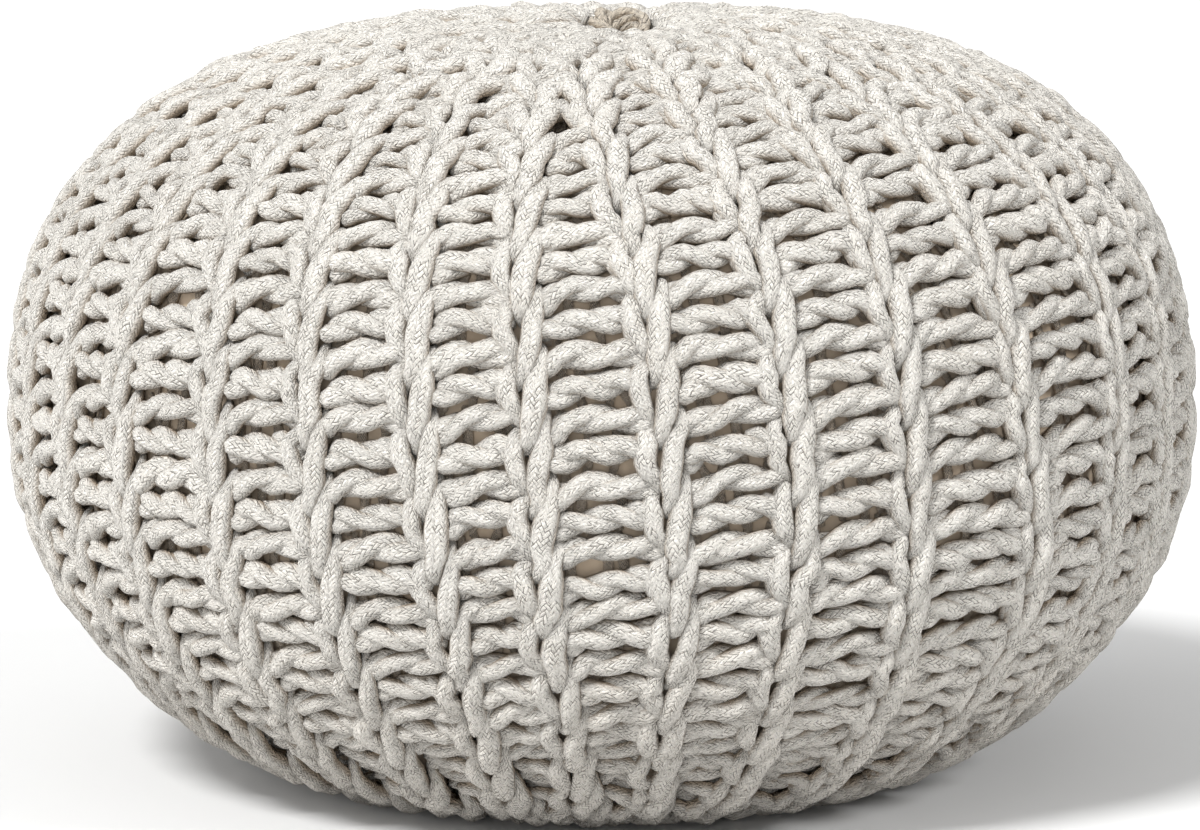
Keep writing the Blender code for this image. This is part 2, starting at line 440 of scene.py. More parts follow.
# Bars: how the two strands' common middle runs from the left rib to the right one. Its knots are the share
# of the way from BAR_STARTS right of the left rib to BAR_STOPS left of the right one, millimetres up from
# the top of the stitch and millimetres off the casing.
A_BAR = np.array(
    [
        (0.00, -7.6, 4.2),
        (0.08, -5.6, 5.2),
        (0.18, -3.2, 5.8),
        (0.34, -1.7, 5.8),
        (0.55, -1.3, 6.1),
        (0.76, -1.5, 5.9),
        (0.90, -2.3, 5.4),
        (1.00, -3.4, 3.8),
    ]
)
B_BAR = np.array(
    [
        (0.00, -19.6, 4.2),
        (0.08, -18.0, 5.2),
        (0.18, -16.3, 5.8),
        (0.36, -15.0, 5.8),
        (0.56, -14.3, 6.1),
        (0.74, -13.8, 6.0),
        (0.88, -13.6, 5.4),
        (1.00, -14.0, 4.2),
    ]
)
# The bars aren't level all the way round: how far each rib's bars drop across it, in millimetres.
A_DROPS = {-5: -1.5, -4: -1.5, -3: -1.0, 4: 0.6, 5: 1.2, 6: 1.2}
B_DROPS = {-8: 4.0, -7: 4.0, -6: 4.5, -5: 5.0, -4: 5.0, -3: 4.2, -2: 3.0, -1: 1.4, 5: 0.6, 6: 0.6}
# The two bars' twist: the length of a turn, how far the strands lie off their middle up the rib and off the
# casing, the turn's hand, where it starts, and the drops.
A_TWIST = dict(turn=0.0380, rise=2.1 * MM, depth=1.9 * MM, hand=-1.0, phase=0.6, drops=A_DROPS)
B_TWIST = dict(turn=0.0330, rise=2.2 * MM, depth=1.9 * MM, hand=1.0, phase=2.2, drops=B_DROPS)
STRAND_RADIUS = 3.9 * MM
STRAND_DEPTH = 0.9
# A strand is this much longer than its bar.
STRAND_SLACK = 1.25
BAR_STARTS = 6.0 * MM
BAR_STOPS = 4.0 * MM
# Where the pitch of the ribs is less than this, a bar's ends come closer to them, to this share at the least.
BAR_PITCH = 0.03
LEAST_BAR_ENDS = 0.3
# There is less and less room for bars between two pitches of the ribs. Where less than this share of it is
# left there is no bar, and none near the middle of the base or the mouth.
BAR_VANISHES = (0.022, 0.031)
BAR_SHOWS = 0.4
BAR_ARCS = (0.03, LAST_ARC - 0.02)

# The purl side's strands: their shares of the way between two ribs, how they run up from and to, in
# millimetres from the top of the stitch, and their bow, waves and height off the casing, in millimetres.
BACK_PLACES = (0.22, 0.41, 0.60, 0.79)
BACK_RISE = (4.0, -24.0)
BACK_BOW = 2.2
BACK_LIFT = 1.5
BACK_WAVE = 0.6
BACK_WAVE_LENGTH = 13.0
BACK_RADIUS = 2.3 * MM
BACK_DEPTH = 0.5
BACK_PITCH = 0.026
BACK_ARCS = (0.06, LAST_ARC - 0.03)

# Gathers round the mouth: the angle round it in degrees, from the front towards the right, the distance
# from its middle, the height off the casing and the half width, the last three in millimetres.
GATHERS = (
    ((-34, 56, 8.5, 3.4), (-26, 42, 9.0, 4.0), (-4, 31, 7.6, 4.2), (28, 28, 8.8, 4.0), (54, 35, 10.0, 4.0),
     (72, 47, 9.0, 3.4)),
    ((-126, 15, 6.0, 3.6), (-113, 21, 11.0, 4.2), (-101, 30, 12.2, 4.4), (-93, 42, 10.0, 3.8)),
    ((-90, 15, 5.0, 3.6), (-87, 21, 11.5, 4.4), (-80, 31, 12.4, 4.6), (-75, 44, 9.5, 3.8)),
    ((-60, 15, 3.0, 3.4), (-58, 21, 9.6, 4.2), (-53, 31, 11.2, 4.4), (-47, 42, 9.0, 3.6)),
    ((64, 15, 3.5, 3.4), (70, 20, 10.0, 4.2), (79, 30, 12.0, 4.6), (85, 43, 9.5, 3.8)),
    ((94, 15, 4.5, 3.6), (99, 20, 11.0, 4.4), (104, 30, 12.2, 4.6), (108, 42, 9.5, 3.8)),
    ((127, 15, 5.0, 3.6), (130, 20, 10.5, 4.2), (133, 30, 11.2, 4.4), (136, 42, 9.0, 3.8)),
    ((160, 15, 5.0, 3.6), (162, 21, 10.0, 4.2), (165, 31, 11.0, 4.2), (168, 43, 8.5, 3.6)),
    ((-156, 15, 5.0, 3.6), (-153, 21, 10.0, 4.2), (-148, 31, 11.0, 4.2), (-144, 43, 8.5, 3.6)),
)
# A gather's mesh is this much finer along than other cords', and its section this deep for its width.
GATHER_FINENESS = 1.6
GATHER_DEPTH = 0.85

# How unlike one another the stitches are, as standard deviations. Knots, bars, gathers and back strands
# stray by millimetres, and sizes by shares of themselves.
KNOT_SCATTER = 0.65
KNOT_SIZE = 0.035
CORD_SIZE = 0.05
BAR_SHIFT = 0.6
BAR_SLOPE = 1.2
BAR_SIZE = 0.07
GATHER_SCATTER = 0.3
BACK_PLACE = 0.03
BACK_SLIP = 1.0
# The scatter of a knot across, up and off the casing, as shares.
SCATTER_SHARES = np.array([1.0, 1.0, 0.5])
GATHER_SHARES = np.array([1.0, 1.0, 0.3])
# How far a bar's twist may start early or late, in radians, and how many turns it may have, as a share.
BAR_PHASE = 1.2
BAR_TURNS = (0.88, 1.12)

# The length of a stretch of cord between two rings of its mesh, and the shares to which its first two rings
# and its last two are narrowed.
SEGMENT = 0.0034
END_TAPER = (0.55, 0.92)
# The sides of the rings. Those of legs and bars have the second number up to the last of the low rows.
LEG_SIDES = (8, 6)
BAR_SIDES = (7, 5)
LAST_LOW_ROW = -5
BACK_SIDES = 6
BACK_RINGS = 6
GATHER_SIDES = 10
RING_SIDES = 8
# How much of a cord's width and depth follows the squeeze of its stitch.
SQUEEZED_WIDTH = 0.4
SQUEEZED_DEPTH = 0.2
# Cords keep to the arc lengths from the first of these to the mouth, and legs that pass the second are left
# out. Their middles keep this many half depths above the floor.
FIRST_ARC = 0.002
LEG_ARC = 0.006
ABOVE_FLOOR = 0.9
# Strays turn into angles at no less than this radius, and the knots of legs at one this far inside the crest.
STRAY_RADIUS = 0.03
LEG_INSET = 0.004
LEAST_RADIUS = 0.004

# How far ribs stray from their own lines, in millimetres to the right, at these arc lengths from the
# middle of the base. The knit is pulled round on the crown. Ribs that aren't listed keep to their lines.
STRAY_ARCS = np.array(
    [0.20, 0.24, 0.27, 0.30, 0.33, 0.36, 0.40, 0.43, 0.456, 0.484, 0.506, 0.528, 0.559, 0.589, 0.629]
)
STRAYS = {
    -6: (-6.0, -6.0, -6.0, -5.0, -3.0, -3.0, -1.5, 0.0, 0.0, 0.0, 0.0, 0.0, 0.0, 0.0, 0.0),
    -5: (-11.0, -11.5, -11.0, -9.0, -6.0, -6.0, -3.0, -0.5, 0.0, 0.0, 0.0, 0.0, 0.0, 0.0, 0.0),
    -4: (-10.0, -10.0, -10.0, -9.0, -7.5, -8.5, -5.0, -2.5, -0.5, 0.0, 0.0, 0.0, 0.0, 0.0, 0.0),
    -3: (-6.0, -5.0, -3.0, -1.5, 0.0, 0.0, 0.0, 0.0, 0.0, 0.0, 0.0, 0.0, 0.0, 0.0, 0.0),
    -1: (3.5, 3.5, 3.5, 2.8, 1.0, 0.0, 0.0, 0.0, 0.0, 0.0, 0.0, 0.0, 0.0, 0.0, 0.0),
    0: (0.0, 0.0, -4.0, -3.3, -2.5, -2.5, -2.5, -2.5, -1.5, 0.0, 0.0, -1.5, -3.4, -4.0, -4.0),
    1: (-4.0, -3.0, 0.0, 0.0, 0.0, 0.0, 0.0, -2.0, -5.5, -7.5, -10.5, -11.5, -15.5, -18.0, -15.0),
    2: (-5.5, -5.5, -4.6, -2.0, 0.0, 0.0, 0.0, -1.0, -2.5, -6.5, -7.0, -6.5, -5.5, -5.0, -5.0),
    3: (-1.0, -1.0, -2.0, -3.0, -3.5, -3.2, -0.5, -0.8, -2.0, -4.0, -3.0, 1.0, 2.0, 1.0, 0.0),
    4: (1.0, 3.5, 7.8, 7.8, 3.0, 1.2, 0.0, 0.0, 0.0, 0.0, 0.0, 0.0, 0.0, 0.0, 0.0),
    5: (1.0, 2.0, 4.0, 5.5, 4.0, 11.0, 13.0, 11.5, 6.0, 3.0, 0.0, 0.0, 0.0, 0.0, 0.0),
    6: (0.0, 0.0, 0.0, 0.0, 0.0, 2.5, 10.0, 9.0, 5.0, 2.0, 0.0, 0.0, 0.0, 0.0, 0.0),
    7: (0.0, 0.0, 0.0, 0.0, 0.0, 1.0, 4.0, 4.0, 2.0, 0.0, 0.0, 0.0, 0.0, 0.0, 0.0),
}


def by_rib(rows):
    """One row a rib, in millimetres, so that a rib's whole number finds its row, round the back too."""
    table = np.zeros((RIB_COUNT, np.size(next(iter(rows.values())))))
    for rib, values in rows.items():
        table[rib % RIB_COUNT] = values
    return table


STRAY_TABLE = by_rib(STRAYS)


def stray(ribs, arc):
    """How far ribs lie to the right of their own lines at these arc lengths. ribs are whole numbers."""
    place = np.interp(arc, STRAY_ARCS, np.arange(len(STRAY_ARCS)))
    low = np.minimum(place.astype(int), len(STRAY_ARCS) - 2)
    rows = STRAY_TABLE[np.broadcast_to(ribs % RIB_COUNT, np.shape(arc))]
    before = np.take_along_axis(rows, low[..., None], axis=-1)[..., 0]
    after = np.take_along_axis(rows, low[..., None] + 1, axis=-1)[..., 0]
    return (before + (after - before) * (place - low)) * MM


def rib_line(ribs, arc):
    """The angle of each rib's middle at an arc length."""
    return rib_angle(ribs) + stray(ribs, arc) / np.maximum(radius_at(arc), STRAY_RADIUS)


def row_arc(row, angle):
    """Arc length of a row of stitch tops: the courses climb round the pouf as one spiral."""
    round_share = (angle - rib_angle(FIRST_ROW_RIB)) / (2.0 * np.pi)
    return WAIST_ARC + FIRST_ROW_ABOVE_WAIST + ROW_PITCH * (row + ROWS_PER_TURN * round_share)


def rib_ends(ribs):
    """The radius inside which each rib has sunk under its neighbours."""
    return np.where(ribs % 2 == 1, ODD_RIB_ENDS, np.where(ribs % 4 == 2, EVEN_RIB_ENDS, 0.0))


def rib_share(ribs, radius):
    """The number of ribs that share the circle at this radius, which falls as ribs sink."""
    odd_gone = smoothstep(ODD_RIB_ENDS + SINK_LENGTH, ODD_RIB_ENDS, radius)
    even_gone = smoothstep(EVEN_RIB_ENDS + SINK_LENGTH / 2.0, EVEN_RIB_ENDS, radius)
    return RIB_COUNT * (1.0 - 0.5 * odd_gone) * (1.0 - 0.5 * even_gone)


def squeeze(ribs, radius):
    """How much a stitch is narrowed where the ribs crowd."""
    pitch = 2.0 * np.pi * radius / rib_share(ribs, radius)
    plump = 1.0 + PLUMP * (smoothstep(*PLUMP_STARTS, pitch) - smoothstep(*PLUMP_STOPS, pitch))
    return np.clip(pitch / FULL_PITCH, LEAST_SQUEEZE, 1.0) * plump


def crown_rise(arc):
    """How much prouder the stitches' middles stand, which is nothing below the crown."""
    return np.where(arc > WAIST_ARC, CROWN_RISE * smoothstep(*CROWN_RISES, radius_at(arc)), 0.0)


def low_sink(arc):
    """1 near the base, where the bars lie deeper between the ribs, and 0 higher up."""
    return smoothstep(*LOW_SINKS, arc)


def tapered(rings):
    """Cord ends are rounded: the half sizes of the first and last rings."""
    taper = np.ones(rings)
    taper[:2] = END_TAPER
    taper[-2:] = END_TAPER[::-1]
    return taper


def ring_count(length, least):
    """How many rings a cord of this length has, its first and last included."""
    return max(int(round(length / SEGMENT)), least) + 1


def lay_cord(cords, ribs, row, course, rng, sides):
    """Adds one cord to each of these ribs' stitches. course is its knots, in millimetres."""
    knots = np.repeat(course[None], len(ribs), axis=0)
    on_crown = radius_at(np.clip(row_arc(row, rib_angle(ribs)), 0.0, LAST_ARC)) < CROWN_RISES[1]
    loose = 1.0 + CROWN_LOOSENESS * on_crown
    scatter = KNOT_SCATTER * loose[:, None, None] * SCATTER_SHARES
    knots[:, :, :3] += rng.normal(0.0, 1.0, knots[:, :, :3].shape) * scatter
    knots[:, :, 3:] *= 1.0 + rng.normal(0.0, KNOT_SIZE, knots[:, :, 3:4].shape)
    knots[:, :, 3:] *= 1.0 + rng.normal(0.0, CORD_SIZE, (len(ribs), 1, 1))
    span = np.linalg.norm(np.diff(knots[:, :, :3], axis=1), axis=2).sum(axis=1).mean() * MM
    rings = ring_count(span, 5)
    path = np.einsum("rk,tkc->trc", spline_weights(knots.shape[1], rings), knots) * MM
    arc = row_arc(row, rib_angle(ribs)[:, None]) + path[:, :, 1]
    past = arc.max(axis=1) - LAST_ARC
    arc = np.clip(arc - np.clip(past, 0.0, ROW_PITCH)[:, None], FIRST_ARC, LAST_ARC)
    radius = radius_at(arc)
    crowd = squeeze(ribs[:, None], radius)
    leg_radius = np.maximum(radius - LEG_INSET, LEAST_RADIUS)
    angle = rib_line(ribs[:, None], arc) + path[:, :, 0] * crowd / leg_radius
    ends = rib_ends(ribs)
    sunk = smoothstep(SINK_LENGTH, 0.0, radius - ends[:, None])
    sunk = np.where(ends[:, None] > 0.0, sunk, 0.0)
    puff = END_PUFF + (1.0 - END_PUFF) * np.sin(np.linspace(0.0, np.pi, rings))
    lift = path[:, :, 2] - SINK_DEPTH * sunk + crown_rise(arc) * puff + LOW_RISE * low_sink(arc)
    points = on_pouf(arc, angle, lift)
    normals = outward(arc, angle)
    taper = tapered(rings)
    width = path[:, :, 3] * (1.0 - SQUEEZED_WIDTH + SQUEEZED_WIDTH * crowd) * taper
    depth = path[:, :, 4] * (1.0 - SQUEEZED_DEPTH + SQUEEZED_DEPTH * crowd) * taper
    points[:, :, 2] = np.maximum(points[:, :, 2], depth * ABOVE_FLOOR)
    kept = (radius.mean(axis=1) > ends) & (arc.min(axis=1) > LEG_ARC) & (past < ROW_PITCH)
    cords.add(points[kept], normals[kept], width[kept], depth[kept], sides)


def arc_at(row, ribs, share):
    """Arc length of a row's stitch tops at a share of the way from the rib on the left to each of these."""
    left = rib_angle(ribs - 1)[:, None]
    return row_arc(row, left + share * (rib_angle(ribs)[:, None] - left))


def angle_at(ribs, share, arc):
    """The angle at a share of the way from the line of the rib on the left to that of each of these."""
    left = rib_line(ribs[:, None] - 1, arc)
    return left + share * (rib_line(ribs[:, None], arc) - left)


def twisted_bar(cords, ribs, row, course, twist, rng, sides):
    """Adds the two twisted strands of a bar, from the rib on the left to each of these ribs."""
    arc_middle = row_arc(row, (rib_angle(ribs - 1) + rib_angle(ribs)) / 2.0) + course[:, 1].mean() * MM
    arc_middle = np.clip(arc_middle, FIRST_ARC, LAST_ARC)
    left = rib_line(ribs - 1, arc_middle)
    right = rib_line(ribs, arc_middle)
    pitch = radius_at(arc_middle) * (right - left)
    shown = smoothstep(*BAR_VANISHES, pitch)
    kept = (shown > BAR_SHOWS) & (arc_middle > BAR_ARCS[0]) & (arc_middle < BAR_ARCS[1])
    if not kept.any():
        return
    ribs, pitch = ribs[kept], pitch[kept]
    closer = np.clip(pitch / BAR_PITCH, LEAST_BAR_ENDS, 1.0)
    start = BAR_STARTS * closer
    length = pitch - BAR_STOPS * closer - start
    rings = ring_count(float(length.mean()) * STRAND_SLACK, 5)
    knots = np.repeat(course[None], len(ribs), axis=0)
    knots[:, :, 1:] += rng.normal(0.0, KNOT_SCATTER, (len(ribs), len(course), 2)) * SCATTER_SHARES[1:]
    knots[:, :, 1] += rng.normal(0.0, BAR_SHIFT, (len(ribs), 1))
    slope = rng.normal(0.0, BAR_SLOPE, (len(ribs), 1)) - by_rib(twist["drops"])[ribs % RIB_COUNT]
    knots[:, :, 1] += slope * (course[:, 0] - 0.5)[None, :]
    path = np.einsum("rk,tkc->trc", spline_weights(len(course), rings), knots)
    share = path[:, :, 0]
    across = (start[:, None] + share * length[:, None]) / pitch[:, None]
    phase = rng.uniform(-BAR_PHASE, BAR_PHASE, len(ribs)) + twist["phase"]
    turns = length / twist["turn"] * rng.uniform(*BAR_TURNS, len(ribs))
    size = 1.0 + rng.normal(0.0, BAR_SIZE, (len(ribs), 1))
    taper = tapered(rings)
    for strand in (0.0, np.pi):
        spin = twist["hand"] * (2.0 * np.pi * turns[:, None] * share + strand) + phase[:, None]
        up = path[:, :, 1] * MM + twist["rise"] * np.cos(spin)
        arc = np.clip(arc_at(row, ribs, across) + up, FIRST_ARC, LAST_ARC)
        low = low_sink(arc)
        lift = path[:, :, 2] * MM + twist["depth"] * np.sin(spin)
        lift = lift + BAR_PUFF * crown_rise(arc) - LOW_SINK * low
        angle = angle_at(ribs, across, arc)
        points = on_pouf(arc, angle, lift)
        half = STRAND_RADIUS * size * taper[None, :] * (1.0 - LOW_THIN * low)
        points[:, :, 2] = np.maximum(points[:, :, 2], half * ABOVE_FLOOR)
        cords.add(points, outward(arc, angle), half, STRAND_DEPTH * half, sides)


def back_strands(cords, ribs, row, rng):
    """The purl side's strands, which run up behind the bars and show in the gaps."""
    right = rib_angle(ribs)
    left = rib_angle(ribs - 1)
    arc_middle = row_arc(row, (left + right) / 2.0) + sum(BACK_RISE) / 2.0 * MM
    pitch = radius_at(np.clip(arc_middle, FIRST_ARC, LAST_ARC)) * (right - left)
    kept = (pitch > BACK_PITCH) & (arc_middle > BACK_ARCS[0]) & (arc_middle < BACK_ARCS[1])
    if not kept.any():
        return
    ribs = ribs[kept]
    rise = np.linspace(*BACK_RISE, BACK_RINGS)[None, :]
    arch = np.sin(np.linspace(0.0, np.pi, BACK_RINGS))[None, :]
    lift = (BACK_LIFT + BACK_WAVE * np.cos(rise / BACK_WAVE_LENGTH * 2.0 * np.pi)) * MM
    half = np.tile(BACK_RADIUS * tapered(BACK_RINGS), (len(ribs), 1))
    for place in BACK_PLACES:
        share = rng.normal(place, BACK_PLACE, (len(ribs), 1))
        bow = rng.normal(0.0, BACK_BOW, (len(ribs), 1)) * arch
        slip = rng.normal(0.0, BACK_SLIP, (len(ribs), 1))
        arc = np.clip(arc_at(row, ribs, share) + (rise + slip) * MM, FIRST_ARC, LAST_ARC)
        angle = angle_at(ribs, share, arc) + bow * MM / RADIUS
        cords.add(on_pouf(arc, angle, lift), outward(arc, angle), half, BACK_DEPTH * half, BACK_SIDES)


# ---------------------------------------------------------------- materials
# The braid of the cord: plies of each set round it, and how many of them a girth's length along it crosses.
PLIES = 15.0
PLY_SLANT = 9.0
TWINE_PLIES = 5.0
CORD_SURFACE = {"Roughness": 0.92, "Specular IOR Level": 0.25, "Sheen Weight": 0.15, "Sheen Roughness": 0.6}
CLOTH_SURFACE = {"Roughness": 0.95, "Specular IOR Level": 0.2}
# The casing cloth's two browns, mottled at random between them: the cloth's own tone, darkened as painted
# shade for the knit's gaps.
CLOTH_PAINTED_SHADE_COLOURS = ((0.47, 0.37, 0.27), (0.71, 0.59, 0.455))
# The dark marks: painted shade in the grooves between plies, whose colour is this share of the shade colour,
# painted shade in the fibres' dips, and seed specks.
GROOVE_SHADE_SHARE = 0.25
GROOVE_SHADE_SHOWS = 0.9
FIBRE_DIP_SHADE_SHOWS = 0.8
SPECK_SHOWS = 0.6
SPECK_COLOUR = (0.10, 0.09, 0.08)
SPECK_SCALE = 210.0
SPECK_SIZE = 0.07
# How strongly the painted shade shows on the cord's inner side, which lies against the casing, and near the
# floor from the first height down to the second, and the shares of the way round the cord between which its
# inner side comes in.
INNER_PAINTED_SHADE = 0.9
FLOOR_PAINTED_SHADE = 0.13
FLOOR_SHADE_HEIGHTS = (0.13, 0.01)
INNER_SIDE = (0.12, 0.33)
# Where painted groove shade starts and is full, from a ply's side and end, and so for felted patches and
# fibre dips.
SIDE_GROOVE_SHADE = (0.16, 0.05)
END_GROOVE_SHADE = (0.14, 0.04)
FELTED = (0.47, 0.57)
FIBRE_DIP_SHADE = (0.38, 0.30)
NOISES = {
    # scale, detail, roughness
    "waver": (330.0, 2.0, 0.5),
    "felt": (260.0, 3.0, 0.6),
    "cloud": (38.0, 3.0, 0.5),
    "fuzz": (1100.0, 3.0, 0.7),
    "hair": (2400.0, 2.0, 0.6),
}


def new_material(name, surface):
    """A material with these values on its Principled shader, its node tree and that shader."""
    material = bpy.data.materials.new(name)
    material.use_nodes = True
    shader = material.node_tree.nodes["Principled BSDF"]
    for socket, value in surface.items():
        shader.inputs[socket].default_value = value
    return material, material.node_tree, shader


def node(tree, kind, **settings):
    made = tree.nodes.new(kind)
    for name, value in settings.items():
        if name in made.inputs:
            made.inputs[name].default_value = value
        else:
            setattr(made, name, value)
    return made


def mixed(tree, first, second, share):
    """A colour between two, by share. The first may be a socket."""
    mix = node(tree, "ShaderNodeMix", data_type="RGBA")
    colours = [socket for socket in mix.inputs if socket.type == "RGBA"]
    if isinstance(first, tuple):
        colours[0].default_value = (*first, 1.0)
    else:
        tree.links.new(first, colours[0])
    colours[1].default_value = (*second, 1.0)
    tree.links.new(share, mix.inputs["Factor"])
    return mix.outputs["Result"]


def add_bump(tree, shader, relief, strength, distance):
    bumped = node(tree, "ShaderNodeBump", Strength=strength, Distance=distance)
    tree.links.new(relief, bumped.inputs["Height"])
    tree.links.new(bumped.outputs[0], shader.inputs["Normal"])


def cord_material(name, colour, shade, painted_shade_colour, plies):
    """Undyed braided cotton cord.

    Two sets of plies wind round the cord, one each way. Each ply passes over two of the other set and then
    under two. "first" and "second" count the plies of each set: their whole parts are the ply's number, and
    their fractions the place across it.
    """
    material, tree, shader = new_material(name, CORD_SURFACE)
    link = tree.links.new

    def maths(operation, first, second=0.0, clamp=False):
        made = node(tree, "ShaderNodeMath", operation=operation, use_clamp=clamp)
        for socket, value in zip(made.inputs, (first, second)):
            if isinstance(value, float):
                socket.default_value = value
            else:
                link(value, socket)
        return made.outputs[0]

    def total(*parts):
        """The sum of values, each times its share."""
        whole = None
        for value, share in parts:
            part = maths("MULTIPLY", value, share)
            whole = part if whole is None else maths("ADD", whole, part)
        return whole

    def split(vector):
        made = node(tree, "ShaderNodeSeparateXYZ")
        link(vector, made.inputs[0])
        return made.outputs

    place = node(tree, "ShaderNodeTexCoord").outputs["Object"]
    height = split(place)[2]
    around, along, _ = split(node(tree, "ShaderNodeUVMap", uv_map="yarn").outputs[0])

    def noise(kind):
        scale, detail, roughness = NOISES[kind]
        made = node(tree, "ShaderNodeTexNoise", Scale=scale, Detail=detail, Roughness=roughness)
        link(place, made.inputs["Vector"])
        return made.outputs["Fac"]

    def fade(value, start, end):
        """0 at start and 1 at end."""
        ramp = node(tree, "ShaderNodeMapRange", interpolation_type="SMOOTHSTEP")
        link(value, ramp.inputs["Value"])
        ramp.inputs["From Min"].default_value = start
        ramp.inputs["From Max"].default_value = end
        return ramp.outputs["Result"]

    sweep = total((around, plies), (noise("waver"), 0.9))
    rise = maths("MULTIPLY", along, PLY_SLANT * plies / PLIES)
    first = maths("ADD", sweep, rise)
    second = maths("SUBTRACT", sweep, rise)
    run_first = maths("FLOORED_MODULO", maths("ADD", maths("FLOOR", first), second), 4.0)
    run_second = maths("FLOORED_MODULO", maths("ADD", maths("FLOOR", second), first), 4.0)
    second_on_top = maths("GREATER_THAN", run_first, 2.0)

    def on_top(over_first, over_second):
        """The value on whichever set lies on top here."""
        chosen = node(tree, "ShaderNodeMix", data_type="FLOAT")
        link(second_on_top, chosen.inputs["Factor"])
        link(over_first, chosen.inputs["A"])
        link(over_second, chosen.inputs["B"])
        return chosen.outputs["Result"]

    def fibres(across, lengthways):
        """Noise drawn out along a ply."""
        joined = node(tree, "ShaderNodeCombineXYZ")
        link(maths("MULTIPLY", across, 3.4), joined.inputs[0])
        link(maths("MULTIPLY", lengthways, 0.55), joined.inputs[1])
        made = node(tree, "ShaderNodeTexNoise", noise_dimensions="2D", Scale=1.0, Detail=2.5, Roughness=0.6)
        link(joined.outputs[0], made.inputs["Vector"])
        return made.outputs["Fac"]

    from_side = on_top(maths("PINGPONG", first, 0.5), maths("PINGPONG", second, 0.5))
    from_end = on_top(maths("PINGPONG", run_first, 1.0), maths("PINGPONG", run_second, 1.0))
    streaks = on_top(fibres(first, second), fibres(second, first))
    fuzz = noise("fuzz")
    hair = noise("hair")
    # A ply is round across, and dips where it goes under the next.
    over = maths("ADD", maths("MULTIPLY", maths("POWER", from_end, 0.6), 0.55), 0.45)
    crown = maths("MULTIPLY", maths("POWER", maths("MULTIPLY", from_side, 2.0), 0.5), over)
    relief = total((crown, 1.0), (streaks, 1.5), (fuzz, 0.6), (hair, 0.30))
    add_bump(tree, shader, relief, 1.0, 0.0022)

    # Painted shade in the grooves: a dark hairline runs along a ply's sides and ends, and is broken where the
    # cord has felted.
    ply_groove_shade = maths("MAXIMUM", fade(from_side, *SIDE_GROOVE_SHADE), fade(from_end, *END_GROOVE_SHADE))
    ply_groove_shade = maths("MULTIPLY", ply_groove_shade, fade(noise("felt"), *FELTED))
    # Painted shade in the dips of the fibre streaks, where the relief is lowest.
    groove_shade = maths("MAXIMUM", ply_groove_shade, maths("MULTIPLY", fade(streaks, *FIBRE_DIP_SHADE), FIBRE_DIP_SHADE_SHOWS))

    # The tone follows the fibre noises of the relief, so it is partly painted shade, darker in the relief's
    # dips, and partly random mottling of the cotton.
    mottle_and_shade = total((streaks, 0.7), (noise("cloud"), 0.4), (fuzz, 0.5))
    mottle_and_shade = maths("ADD", mottle_and_shade, maths("MULTIPLY", maths("SUBTRACT", hair, 0.42), 1.6), clamp=True)
    groove_shade_colour = tuple(GROOVE_SHADE_SHARE * value for value in shade)
    groove_shaded = mixed(tree, mixed(tree, shade, colour, mottle_and_shade), groove_shade_colour, maths("MULTIPLY", groove_shade, GROOVE_SHADE_SHOWS))
    # Painted shade: the side of the cord that lies against the casing is darkened to a warm brown, and so is
    # the cord near the floor, less so.
    from_face = maths("ABSOLUTE", maths("SUBTRACT", around, 0.5))
    inner = maths("MULTIPLY", fade(from_face, *INNER_SIDE), INNER_PAINTED_SHADE)
    low = maths("MULTIPLY", fade(height, *FLOOR_SHADE_HEIGHTS), FLOOR_PAINTED_SHADE)
    with_painted_shade = mixed(tree, groove_shaded, painted_shade_colour, maths("MAXIMUM", inner, low))
    specks = node(tree, "ShaderNodeTexVoronoi", Scale=SPECK_SCALE)
    link(place, specks.inputs["Vector"])
    speck = maths("MULTIPLY", maths("LESS_THAN", specks.outputs["Distance"], SPECK_SIZE), SPECK_SHOWS)
    link(mixed(tree, with_painted_shade, SPECK_COLOUR, speck), shader.inputs["Base Color"])
    return material


def casing_material():
    """The plain-woven cotton of the casing, which shows only in the gaps of the knit. Its browns are darkened
    as painted shade for those gaps.
    """
    material, tree, shader = new_material("casing_cloth", CLOTH_SURFACE)
    cloud = node(tree, "ShaderNodeTexNoise", Scale=160.0, Detail=4.0)
    tree.links.new(node(tree, "ShaderNodeTexCoord").outputs["Object"], cloud.inputs["Vector"])
    tree.links.new(mixed(tree, *CLOTH_PAINTED_SHADE_COLOURS, cloud.outputs["Fac"]), shader.inputs["Base Color"])
    add_bump(tree, shader, cloud.outputs["Fac"], 0.5, 0.0008)
    return material


# ---------------------------------------------------------------- pieces
def make_cover(cotton, shaded):
    rng = np.random.default_rng(SEED)
    rows_below = int((WAIST_ARC + ROWS_REACH) / ROW_PITCH) + 1
    rows_above = int((LAST_ARC - WAIST_ARC) / ROW_PITCH) + 2
    pieces = []
    edges = [round(RIB_COUNT * sector / SECTORS) for sector in range(SECTORS + 1)]
    first = -(RIB_COUNT // 2)
    for sector in range(SECTORS):
        ribs = first + np.arange(edges[sector], edges[sector + 1])
        stitches = Cords(f"rib_stitches_{sector + 1}")
        bars = Cords(f"bar_strands_{sector + 1}")
        backs = Cords(f"back_strands_{sector + 1}")
        for row in range(-rows_below, rows_above + 1):
            low = row <= LAST_LOW_ROW
            for course in (RIGHT_LEG, LEFT_LEG, SHOULDER):
                lay_cord(stitches, ribs, row, course, rng, LEG_SIDES[low])
            for course, twist in ((A_BAR, A_TWIST), (B_BAR, B_TWIST)):
                twisted_bar(bars, ribs, row, course, twist, rng, BAR_SIDES[low])
            back_strands(backs, ribs, row, rng)
        if sector == SECTORS // 2:
            lay_gathers(stitches, rng)
        for cords, material in ((stitches, cotton), (bars, cotton), (backs, shaded)):
            obj = cords.build()
            obj.data.materials.append(material)
            pieces.append(obj)
    return pieces


